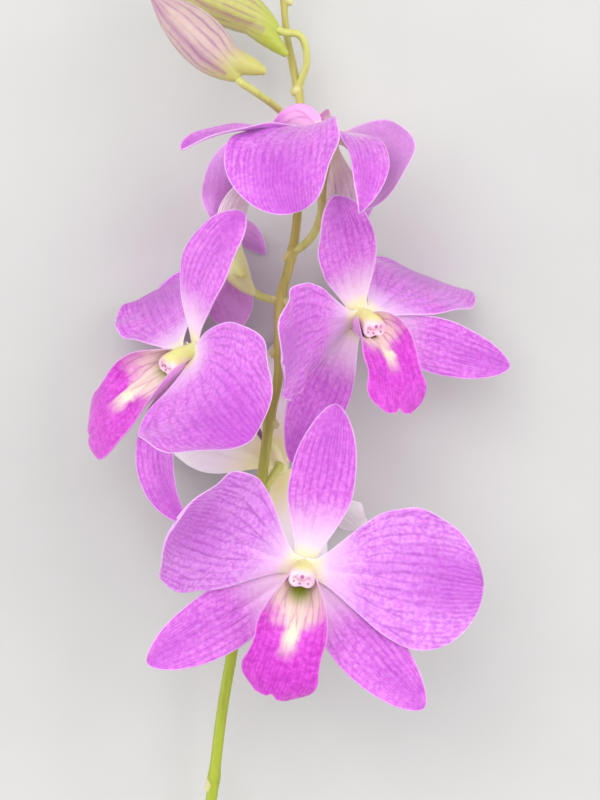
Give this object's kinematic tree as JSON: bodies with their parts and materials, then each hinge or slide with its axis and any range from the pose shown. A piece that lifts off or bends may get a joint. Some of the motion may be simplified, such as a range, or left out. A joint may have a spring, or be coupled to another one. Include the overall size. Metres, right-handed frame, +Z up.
{
  "type": "cooktown orchid stem",
  "caption": "Cut flowering stem of a Cooktown orchid with open magenta-pink blooms and closed buds along an arching green stalk, lying on a surface",
  "frame": {"origin": "under the middle of the whole stem, on the surface that it lies on", "axes": "+Y along the stem from the cut end to the tip, +Z up from the surface towards the open faces, +X to the right"},
  "size_m": [0.0796, 0.2392, 0.0548],
  "materials": {
    "petal": "soft satin petal, magenta-pink with darker veins and pale margins",
    "lip": "soft satin, deep magenta with darker veins and a pale throat",
    "column": "waxy, pinkish white to yellow-green",
    "bud": "soft satin, pale pink and yellow-green with purple stripes",
    "stem": "smooth, yellow-green to olive"
  },
  "bodies": {
    "root": {"bloom_1_dorsal_sepal": "petal", "bloom_1_sepal_left": "petal", "bloom_1_sepal_right": "petal", "bloom_1_petal_left": "petal", "bloom_1_petal_right": "petal", "bloom_1_lip": "lip", "bloom_1_column": "column", "bloom_2_dorsal_sepal": "petal", "bloom_2_sepal_left": "petal", "bloom_2_sepal_right": "petal", "bloom_2_petal_left": "petal", "bloom_2_petal_right": "petal", "bloom_2_lip": "lip", "bloom_2_column": "column", "bloom_3_dorsal_sepal": "petal", "bloom_3_sepal_left": "petal", "bloom_3_sepal_right": "petal", "bloom_3_petal_left": "petal", "bloom_3_petal_right": "petal", "bloom_3_lip": "lip", "bloom_3_column": "column", "bloom_4_dorsal_sepal": "petal", "bloom_4_sepal_left": "petal", "bloom_4_sepal_right": "petal", "bloom_4_petal_left": "petal", "bloom_4_petal_right": "petal", "bloom_4_lip": "lip", "bloom_4_column": "column", "bloom_5_dorsal_sepal": "petal", "bloom_5_sepal_left": "petal", "bloom_5_sepal_right": "petal", "bloom_5_petal_left": "petal", "bloom_5_petal_right": "petal", "bloom_5_lip": "lip", "bloom_5_column": "column", "bloom_6_dorsal_sepal": "petal", "bloom_6_sepal_left": "petal", "bloom_6_sepal_right": "petal", "bloom_6_petal_left": "petal", "bloom_6_petal_right": "petal", "bloom_6_lip": "lip", "bloom_6_column": "column", "bud_1": "bud", "bud_2": "bud", "bud_3": "bud", "bud_4": "bud", "stem": "stem"}
  },
  "joints": []
}
